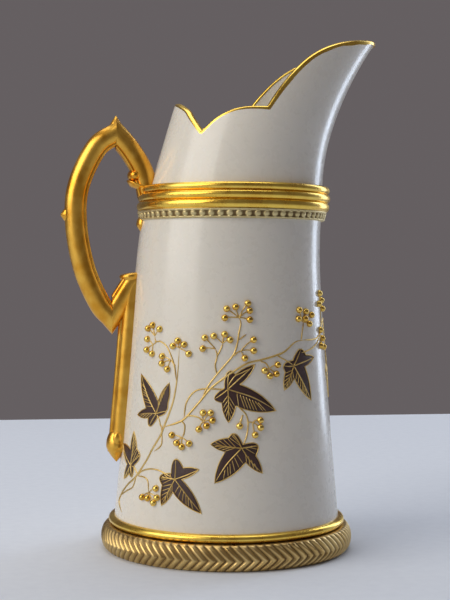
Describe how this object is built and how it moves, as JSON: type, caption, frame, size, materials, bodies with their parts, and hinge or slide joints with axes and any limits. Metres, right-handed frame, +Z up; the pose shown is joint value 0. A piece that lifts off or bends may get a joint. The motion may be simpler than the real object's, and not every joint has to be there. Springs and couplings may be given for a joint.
{
  "type": "cream jug",
  "caption": "Tall porcelain cream jug with a tapering body, notched rim, helmet spout, gilt pointed handle and raised gilt berry and ivy sprays.",
  "frame": {"origin": "centre of the foot ring on the plane that the jug stands on", "axes": "+Z up the body's axis, +X towards the spout, -X towards the handle, +Y to the jug's left side seen from the handle"},
  "size_m": [0.0939, 0.0742, 0.15],
  "materials": {
    "ivory_porcelain": "satin blush-ivory glaze",
    "gilt_porcelain": "burnished gold over porcelain",
    "old_gold": "old bronze-gold, dark in the grooves",
    "pale_gold": "matt pale gold",
    "raised_gilding": "burnished raised gold",
    "leaf_enamel": "dark brown enamel with gold veins"
  },
  "bodies": {
    "root": {"berry_cluster_01": "raised_gilding", "berry_cluster_02": "raised_gilding", "berry_cluster_03": "raised_gilding", "berry_cluster_04": "raised_gilding", "berry_cluster_05": "raised_gilding", "berry_cluster_06": "raised_gilding", "berry_cluster_07": "raised_gilding", "berry_cluster_08": "raised_gilding", "berry_cluster_09": "raised_gilding", "berry_cluster_10": "raised_gilding", "berry_cluster_11": "raised_gilding", "berry_cluster_12": "raised_gilding", "berry_cluster_13": "raised_gilding", "berry_cluster_14": "raised_gilding", "berry_cluster_15": "raised_gilding", "berry_cluster_16": "raised_gilding", "berry_cluster_17": "raised_gilding", "berry_cluster_18": "raised_gilding", "berry_cluster_19": "raised_gilding", "body_floor": "ivory_porcelain", "body_wall": "ivory_porcelain", "collar_beaded_band": "pale_gold", "collar_pendant_bud": "gilt_porcelain", "foot_bead_ring": "gilt_porcelain", "foot_rope_ring": "old_gold", "handle_bow": "gilt_porcelain", "handle_lower_strut": "gilt_porcelain", "handle_peak_finial": "gilt_porcelain", "handle_spur_scroll": "gilt_porcelain", "handle_strap": "gilt_porcelain", "handle_strap_head": "gilt_porcelain", "handle_terminal_bud": "gilt_porcelain", "handle_thumb_bud": "gilt_porcelain", "handle_upper_arm": "gilt_porcelain", "leaf_01": "leaf_enamel", "leaf_02": "leaf_enamel", "leaf_03": "leaf_enamel", "leaf_04": "leaf_enamel", "leaf_05": "leaf_enamel", "leaf_06": "leaf_enamel", "leaf_07": "leaf_enamel", "leaf_08": "leaf_enamel", "leaf_09": "leaf_enamel", "leaf_10": "leaf_enamel", "neck_and_spout": "ivory_porcelain", "neck_collar": "gilt_porcelain", "rim_gilding": "gilt_porcelain"}
  },
  "joints": []
}
